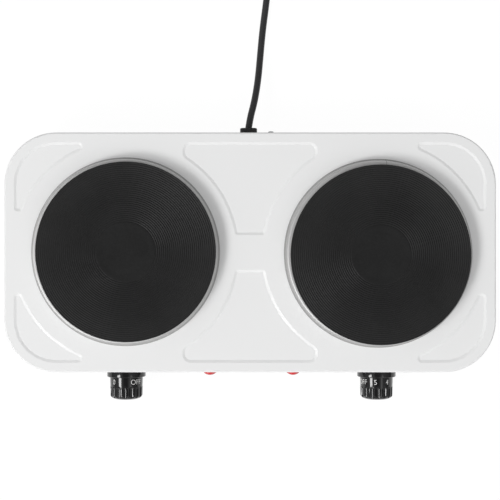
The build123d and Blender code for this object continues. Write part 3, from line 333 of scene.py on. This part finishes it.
def turnedPiece(name, profile, centre, segments, material, crease=creaseAngle):
    # each profile point (radius, height) goes round the upright axis: x = r cos a, y = r sin a
    radius, height = profile.T
    angle = np.linspace(0, 2 * math.pi, segments, endpoint=False)
    points = np.stack([centre[0] + np.outer(radius, np.cos(angle)),
                       centre[1] + np.outer(radius, np.sin(angle)),
                       np.repeat(height[:, None], segments, 1)], -1)
    return gridPiece(name, points, material, "housing", crease)


def roundCorner(before, corner, after, radius, steps=9):  # arc in a corner, touching both of its legs
    corner = np.array(corner)
    first, second = [np.subtract(end, corner) / math.dist(end, corner) for end in (before, after)]
    half = math.acos(first @ second) / 2
    centre = corner + (first + second) / np.linalg.norm(first + second) * radius / math.sin(half)
    start, stop = [corner + leg * radius / math.tan(half) - centre for leg in (first, second)]
    sweep = math.pi - 2 * half
    share = np.linspace(0, 1, steps)[:, None] * sweep
    return centre + (np.sin(sweep - share) * start + np.sin(share) * stop) / math.sin(sweep)


# Camera: straight above, the photograph's frame
cameraLook = {"place": (-0.0001, 0.0135, 1.242), "lens": 84.3, "sensor": 36.0}
camera = bpy.data.objects.new("camera", bpy.data.cameras.new("camera"))
camera.location = cameraLook["place"]
camera.data.lens = cameraLook["lens"]
camera.data.sensor_width = cameraLook["sensor"]
scene.collection.objects.link(camera)
scene.camera = camera

# Mains cord: control points of its run on the table, its coil and its tail, in millimetres
flex = {
    "diameter": 7.0,
    "length": 1.06,
    "run": [(-1.56, 139.925, 24.0), (-0.2, 150.0, 24.0), (4.6, 168.0, 21.5), (8.4, 192.0, 13.0),
            (10.6, 217.0, 6.0), (13.2, 246.0, 3.7), (17.4, 277.0, 3.8), (20.0, 305.075, 4.8),
            (20.0, 329.075, 4.8)],
    "coilCentre": (-24.0, 336.075),
    "coilRadius": 44.0,
    "coilPitch": 7.6,
    "coilTurns": 3.25,
    "turnsIn": 1.5,
    "climb": 0.5,
    "bottom": 4.8,
    "pointsPerTurn": 24,
    "tail": [(-31.0, 381.975, 12.4), (-52.0, 381.975, 12.4), (-77.2, 381.975, 18.7), (-98.2, 381.975, 18.7)],
    "roundSteps": 6,
    "curveSteps": 6,
}


def coilPoint(turns):  # spiral in and then out at one pitch a turn, with one smooth step up where it reverses
    radius = flex["coilRadius"] - flex["coilPitch"] * (flex["turnsIn"] - abs(turns - flex["turnsIn"]))
    share = min(max((turns - flex["turnsIn"]) / flex["climb"] + 0.5, 0.0), 1.0)
    angle = 2 * math.pi * turns
    return (flex["coilCentre"][0] + radius * math.cos(angle),
            flex["coilCentre"][1] + radius * math.sin(angle),
            flex["bottom"] + flex["coilPitch"] * share * share * (3 - 2 * share))


coilSteps = round(flex["coilTurns"] * flex["pointsPerTurn"])
coil = [coilPoint(step / flex["pointsPerTurn"]) for step in range(coilSteps + 1)]
route = flex["run"] + coil + flex["tail"]
curve = bpy.data.curves.new("mains_flex", "CURVE")
curve.dimensions = "3D"
curve.bevel_depth = flex["diameter"] / 2 * mm
curve.bevel_resolution = flex["roundSteps"]
curve.use_fill_caps = True
spline = curve.splines.new("NURBS")
spline.points.add(len(route) - 1)
spline.points.foreach_set("co", np.c_[np.array(route) * mm, np.ones(len(route))].ravel())
spline.order_u = 3
spline.use_endpoint_u = True
spline.resolution_u = flex["curveSteps"]
spline.use_smooth = True
curve.materials.append(finishes["cord_black"])
mainsFlex = bpy.data.objects.new("mains_flex", curve)
scene.collection.objects.link(mainsFlex)
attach(mainsFlex, "housing")
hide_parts("mains_cord", "cord_coil", "cord_tail")
print("cord and camera placed")

# Cast plates: turned faces with fine tool rings, rim, neck, skirt and hub, in millimetres
plateShape = {
    "top": 77.0, "rim": 90.0, "edgeRound": 0.8, "edgeSteps": 10,
    "pipFloor": 0.36, "pip": 0.6, "pipDepth": 0.15, "dishRows": (0.72, 1.2, 11.0, 21.56),
    "dish": 22.0, "dishDepth": 0.4, "dishRound": 7.2, "dishSteps": 7,
    "ringStart": 29.4, "ringEnd": 89.0, "ringPitch": 2.06, "ringDepth": 0.355,
    "ringLand": 0.10, "ringFall": 0.339, "ringValley": 0.10, "crease": 15.0,
    "seat": 72.0, "neck": 82.5, "neckBottom": 64.0, "skirt": 76.0, "skirtBottom": 54.0, "skirtWall": 5.0,
    "ceiling": 67.0, "hub": 17.0, "stud": 3.05, "studDepth": 11.0,
    "channel": 48.0, "channelRadius": 4.4, "channelLevel": 64.95, "channelSteps": 11, "segments": 192,
}


def plateProfile(shape):
    # top face: going outward, each ring is a narrow land, a fall, a narrow valley and a longer climb, as
    # shares of its pitch; dish: flat, with a cosine step up to the face
    rings = round((shape["ringEnd"] - shape["ringStart"]) / shape["ringPitch"])
    stops = np.cumsum([0.0, shape["ringLand"], shape["ringFall"], shape["ringValley"]])
    share = np.append((np.arange(rings)[:, None] + stops).ravel(), rings) / rings
    radius = shape["ringStart"] + (shape["ringEnd"] - shape["ringStart"]) * share
    height = shape["top"] - shape["ringDepth"] * np.append(np.tile([0, 0, 1, 1], rings), 0)
    rounds = np.stack([radius, height], -1)
    floor = shape["top"] - shape["dishDepth"]
    pit = floor - shape["pipDepth"]
    dish = [(0, pit), (shape["pipFloor"], pit), (shape["pip"], floor)]
    dish += [(row, floor) for row in shape["dishRows"]]
    step = np.linspace(0, 1, shape["dishSteps"])
    rise = np.stack([shape["dish"] + shape["dishRound"] * step,
                     floor + shape["dishDepth"] * (0.5 - 0.5 * np.cos(math.pi * step))], -1)
    turn = np.linspace(0, math.pi / 2, shape["edgeSteps"])
    edge = np.stack([shape["rim"] - shape["edgeRound"] + shape["edgeRound"] * np.sin(turn),
                     shape["top"] - shape["edgeRound"] + shape["edgeRound"] * np.cos(turn)], -1)
    wall = shape["skirt"] - shape["skirtWall"]
    below = [(shape["rim"], shape["seat"]), (shape["neck"], shape["seat"]),
             (shape["neck"], shape["neckBottom"]), (shape["skirt"], shape["neckBottom"]),
             (shape["skirt"], shape["skirtBottom"]), (wall, shape["skirtBottom"]), (wall, shape["ceiling"])]
    lean = math.asin((shape["ceiling"] - shape["channelLevel"]) / shape["channelRadius"])
    sweep = np.linspace(lean, math.pi - lean, shape["channelSteps"])
    channel = np.stack([shape["channel"] + shape["channelRadius"] * np.cos(sweep),
                        shape["channelLevel"] + shape["channelRadius"] * np.sin(sweep)], -1)
    studEnd = shape["skirtBottom"] + shape["studDepth"]
    hub = [(shape["hub"], shape["ceiling"]), (shape["hub"], shape["skirtBottom"]),
           (shape["stud"], shape["skirtBottom"]), (shape["stud"], studEnd), (0, studEnd)]
    return np.concatenate([dish, rise, rounds, edge, below, channel, hub]) * mm


# Trim rings, in millimetres: rolled sheet with a flat foot, leaning band, round shoulder and a lip
# under the plate
ringShape = {
    "outer": 95.0, "foot": 94.1, "shoulder": 92.2, "lip": 84.78, "bottom": 62.0, "seat": 72.0, "sheet": 0.7,
    "round": 2.2, "segments": 224,
}


def ringProfile(shape):
    # upper side from the foot over the shoulder to the lip, then the lower side back, one sheet below
    thin = shape["sheet"]
    start = (shape["outer"], shape["bottom"])
    brim = (shape["outer"], shape["bottom"] + thin)
    foot = (shape["foot"], shape["bottom"] + thin)
    corner = (shape["shoulder"], shape["seat"])
    lip = (shape["lip"], shape["seat"])
    lowFoot = (shape["foot"] - thin, shape["bottom"])
    lowCorner = (shape["shoulder"] - thin, shape["seat"] - thin)
    lowLip = (shape["lip"], shape["seat"] - thin)
    upper = roundCorner(foot, corner, lip, shape["round"])
    lower = roundCorner(lowLip, lowCorner, lowFoot, shape["round"] - thin)
    return np.concatenate([[start, brim, foot], upper, [lip, lowLip], lower, [lowFoot, start]]) * mm


for side in sides:
    spot = middle(side + "_plate")
    iron = plateIron(side + "_plate_iron", (spot.x, spot.y))
    plate = turnedPiece(side + "_plate_turned", plateProfile(plateShape)[::-1], (spot.x, spot.y),
                        plateShape["segments"], iron, plateShape["crease"])
    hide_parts(side + "_plate")
    spot = middle(side + "_trim_ring")
    steel = trimSteel(side + "_trim_steel", (spot.x, spot.y), steelLook["seamPlace"][side])
    ring = turnedPiece(side + "_ring_rolled", ringProfile(ringShape)[::-1], (spot.x, spot.y),
                       ringShape["segments"], steel)
    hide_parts(side + "_trim_ring")
print("plates and trim rings turned")

# Knobs: moulded, in millimetres; depth runs from the back of the flange towards the front
knobShape = {
    "back": -110.825, "flange": 19.9, "flangeDepth": 5.9, "flangeRound": 0.85, "band": 16.9, "bandEnd": 15.5,
    "grip": 16.4, "noseStart": 24.7, "noseSteps": 14, "front": 29.1, "face": 8.5, "faceRow": 4.25,
    "flutes": 16, "bar": 2.6, "fluteDepth": 1.4, "soft": 0.3, "fluteSteps": 13, "ridgeSteps": 6,
    "gripStep": 0.5, "fineStart": 18.4, "fineEnd": 15.1, "fineStep": 0.2, "bandRows": (14.0, 11.0, 8.0, 6.2),
    "skirt": 18.0, "recess": 3.2, "hollow": 12.9, "hub": 6.5, "hubStart": 2.0,
    "bore": 3.05, "boreEnd": 21.8, "keyStart": 7.8, "keyLevel": 1.55,
}


def fluteChord(shape):  # half the width of a flute where it leaves the grip
    return math.sqrt(shape["bar"] ** 2 - (shape["bar"] - shape["fluteDepth"]) ** 2)


def gripRadius(shape, depth):  # the band and the grip narrow evenly towards the front
    taper = (shape["band"] - shape["grip"]) / (shape["noseStart"] - shape["flangeDepth"])
    return shape["band"] - taper * (depth - shape["flangeDepth"])


def knobAngles(shape):  # columns round the knob, closer across each flute than on the ridges
    pitch = 2 * math.pi / shape["flutes"]
    edge = math.asin(fluteChord(shape) / shape["grip"])
    pattern = np.r_[np.linspace(-edge, edge, shape["fluteSteps"]),
                    np.linspace(edge, pitch - edge, shape["ridgeSteps"])[1:-1]]
    return (pattern + pitch * np.arange(shape["flutes"])[:, None]).ravel()


def fluted(shape, radius, depth, angle):
    # a flute is a round bar beside the axis with a ball at its back end; the surface keeps the smaller
    # radius, rounded where the two meet
    pitch = 2 * math.pi / shape["flutes"]
    out = shape["grip"] - shape["fluteDepth"] + shape["bar"]
    beside = (angle + pitch / 2) % pitch - pitch / 2
    short = np.maximum(shape["bandEnd"] + fluteChord(shape) - depth, 0)[:, None]
    room = shape["bar"] ** 2 - (out * np.sin(beside)) ** 2 - short ** 2
    cut = np.where(room > 0, out * np.cos(beside) - np.sqrt(np.maximum(room, 0)), 2 * out)
    share = np.clip(0.5 + 0.5 * (cut - radius[:, None]) / shape["soft"], 0, 1)
    return cut * (1 - share) + radius[:, None] * share - shape["soft"] * share * (1 - share)


def knobPiece(side):
    # outside rows: flat face, quarter-ellipse nose, tapered grip and band; then flange, recess, hollow,
    # hub and bore, whose flat cuts it short on one side
    shape = knobShape
    spot = middle(side + "_shaft")
    angle = knobAngles(shape)
    turn = np.linspace(0, math.pi / 2, shape["noseSteps"])
    nose = np.stack([shape["face"] + (shape["grip"] - shape["face"]) * np.sin(turn),
                     shape["noseStart"] + (shape["front"] - shape["noseStart"]) * np.cos(turn)], -1)
    coarse = np.arange(shape["noseStart"] - shape["gripStep"], shape["fineStart"] + shape["fineStep"],
                       -shape["gripStep"])
    fine = np.arange(shape["fineStart"], shape["fineEnd"], -shape["fineStep"])
    rows = np.r_[coarse, fine, shape["bandRows"], shape["flangeDepth"]]
    flank = np.stack([gripRadius(shape, rows), rows], -1)
    face = [(0, shape["front"]), (shape["faceRow"], shape["front"])]
    outside = np.concatenate([face, nose, flank])
    foot = (shape["band"], shape["flangeDepth"])
    top = (shape["flange"], shape["flangeDepth"])
    low = (shape["flange"], 0.0)
    rim = [roundCorner(foot, top, low, shape["flangeRound"]),
           roundCorner(top, low, (shape["skirt"], 0.0), shape["flangeRound"])]
    inside = [(shape["skirt"], 0), (shape["skirt"], shape["recess"]), (shape["hollow"], shape["recess"]),
              (shape["hollow"], shape["noseStart"]), (shape["hub"], shape["noseStart"]),
              (shape["hub"], shape["hubStart"]), (shape["bore"], shape["hubStart"]),
              (shape["bore"], shape["keyStart"])]
    plain = np.concatenate([*rim, inside])
    keyed = np.minimum(shape["bore"], shape["keyLevel"] / np.maximum(np.cos(angle), 0.01))
    radius = np.concatenate([fluted(shape, *outside.T, angle), np.repeat(plain[:, :1], len(angle), 1),
                             [keyed, keyed, 0 * keyed]])
    depth = np.r_[outside[:, 1], plain[:, 1], shape["keyStart"], shape["boreEnd"], shape["boreEnd"]]
    along = np.repeat(shape["back"] - depth[:, None], len(angle), 1)
    points = np.stack([radius * np.sin(angle), along, radius * np.cos(angle)], -1) * mm
    points += np.array([spot.x, 0.0, spot.z])
    knob = gridPiece(side + "_knob_moulded", points, finishes["knob_black"], side + "_control")
    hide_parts(side + "_knob")


for side in sides:
    knobPiece(side)
print("knobs moulded")

# Knob scales: printed marks round the plain band, degrees clockwise from the top as seen from the front
scaleLook = {
    "height": 5.0, "middle": -121.3, "proud": 0.03, "thick": 0.05, "step": 0.6, "weight": -0.008,
    "join": 1e-5,
    "first": {"left": 42.5, "right": -62.0},
    "marks": {"OFF": 0.0, "5": 52.5, "4": 96.0, "3": 140.5, "2": 185.0, "1": 230.0, "0": 275.0},
    "colour": (0.80, 0.80, 0.79), "drift": 0.05, "broad": 400.0, "fine": 1500.0,
    "rough": 0.45, "roughDrift": 0.12, "skin": 0.12, "skinDepth": 0.0001,
}
printWhite = plainFinish("scale_print", scaleLook)


def flatMark(word):  # one word as a closed mesh 1 thick, centred, its height in millimetres, cut into strips
    curve = bpy.data.curves.new("mark", "FONT")
    curve.body = word
    curve.offset = scaleLook["weight"]
    curve.extrude = 0.5
    text = bpy.data.objects.new("mark", curve)
    mesh = bpy.data.meshes.new_from_object(text)
    bpy.data.objects.remove(text)
    work = bmesh.new()
    work.from_mesh(mesh)
    bpy.data.meshes.remove(mesh)
    bmesh.ops.remove_doubles(work, verts=work.verts, dist=scaleLook["join"])
    spots = np.array([vertex.co for vertex in work.verts])
    low, high = spots.min(0), spots.max(0)
    scale = scaleLook["height"] / (high[1] - low[1])
    spots[:, :2] = (spots[:, :2] - (low + high)[:2] / 2) * scale
    for vertex, place in zip(work.verts, spots):
        vertex.co = place
    half = (high[0] - low[0]) / 2 * scale
    for cut in np.arange(-half + scaleLook["step"], half, scaleLook["step"]):
        parts = work.verts[:] + work.edges[:] + work.faces[:]
        bmesh.ops.bisect_plane(work, geom=parts, plane_co=(cut, 0, 0), plane_no=(1, 0, 0))
    work.verts.index_update()
    points = np.array([vertex.co for vertex in work.verts])
    faces = [[vertex.index for vertex in face.verts] for face in work.faces]
    work.free()
    return points, faces


def scalePiece(side):
    # a flat mark wraps round the band: across becomes angle, up becomes depth, thickness goes outward
    spot = middle(side + "_shaft")
    allPoints, allFaces, count = [], [], 0
    for word, turn in scaleLook["marks"].items():
        points, faces = flatMark(word)
        along = scaleLook["middle"] + points[:, 1]
        angle = math.radians(scaleLook["first"][side] + turn) + points[:, 0] / knobShape["band"]
        radius = gripRadius(knobShape, knobShape["back"] - along)
        radius = radius + scaleLook["proud"] + points[:, 2] * scaleLook["thick"]
        wrapped = np.stack([radius * np.sin(angle), along, radius * np.cos(angle)], -1) * mm
        allPoints.append(wrapped + np.array([spot.x, 0.0, spot.z]))
        allFaces += [[index + count for index in face] for face in faces]
        count += len(points)
    meshPiece(side + "_knob_scale", np.concatenate(allPoints), allFaces, printWhite, side + "_control")


for side in sides:
    scalePiece(side)
print("knob scales printed")

# Floor, white to the camera and to reflections, with a faint shadow kept
stageLook = {
    "floor": (0.62, 0.62, 0.62, 1.0), "rough": 0.9, "span": 6.0, "drop": 0.0002, "cover": 0.92, "glow": 1.05,
    "white": (1.0, 1.0, 1.0, 1.0), "horizon": 0.20, "rise": 0.52, "left": 0.2, "front": 0.2,
    "capLow": 0.90, "capHigh": 0.98, "cap": 0.75,
}
floorMaterial, wires, shader = finish("pale_floor", {"Base Color": stageLook["floor"],
                                                     "Roughness": stageLook["rough"]})
camRay, glossRay, clearRay = [wires.node("ShaderNodeLightPath", {}, {}, kind)
                              for kind in ("Is Camera Ray", "Is Glossy Ray", "Is Transmission Ray")]
seen = wires.math("MAXIMUM", wires.math("MAXIMUM", camRay, glossRay), clearRay)
glow = wires.node("ShaderNodeEmission", {}, {"Color": stageLook["white"], "Strength": stageLook["glow"]})
lit = Wire(wires.tree, shader.outputs[0])
both = wires.node("ShaderNodeMixShader", {}, {0: seen * stageLook["cover"], 1: lit, 2: glow})
wires.tree.links.new(both.socket, wires.tree.nodes["Material Output"].inputs["Surface"])
span = stageLook["span"]
floorMesh = bpy.data.meshes.new("floor")
floorMesh.from_pydata([(-span, -span, 0), (span, -span, 0), (span, span, 0), (-span, span, 0)], [],
                      [(0, 1, 2, 3)])
floorMesh.materials.append(floorMaterial)
floor = bpy.data.objects.new("floor", floorMesh)
floor.location.z = -stageLook["drop"]
scene.collection.objects.link(floor)

# Room light: dim at the horizon, brighter above, to the left and to the front, with a dark patch overhead
world = bpy.data.worlds.new("soft_room")
scene.world = world
world.use_nodes = True
sky = Wire(world.node_tree)
heading = sky.node("ShaderNodeTexCoord", {}, {}, "Generated")
eastward, northward, upward = [axis(sky, heading, letter) for letter in "XYZ"]
level = stageLook["horizon"] + stageLook["rise"] * sky.math("MAXIMUM", upward, 0.0)
level = level * (1 - stageLook["left"] * eastward - stageLook["front"] * northward)
level = level * (1 - stageLook["cap"] * ease(sky, upward, stageLook["capLow"], stageLook["capHigh"]))
direct = sky.node("ShaderNodeLightPath", {}, {}, "Is Camera Ray")
level = level * (1 - direct) + direct
background = world.node_tree.nodes["Background"]
background.inputs["Color"].default_value = stageLook["white"]
world.node_tree.links.new(level.socket, background.inputs["Strength"])

lamps = {
    "key": {"place": (-2.95, -2.55, 3.7), "aim": (0.0, 0.0, 0.05), "wide": 1.5, "high": 1.5, "power": 115.0},
    "fill": {"place": (2.3, -2.3, 3.2), "aim": (0.0, 0.0, 0.05), "wide": 3.0, "high": 3.0, "power": 26.0},
    "strip": {"place": (-2.71, -0.72, 3.09), "aim": (0.0, -0.125, 0.05), "wide": 0.42, "high": 1.2,
              "power": 24.0},
}
for name, look in lamps.items():
    light = bpy.data.lights.new(name, "AREA")
    light.shape = "RECTANGLE"
    light.size = look["wide"]
    light.size_y = look["high"]
    light.energy = look["power"]
    lamp = bpy.data.objects.new(name, light)
    lamp.location = look["place"]
    lamp.rotation_euler = (lamp.location - Vector(look["aim"])).to_track_quat("Z", "Y").to_euler()
    scene.collection.objects.link(lamp)
print("stage and light set")
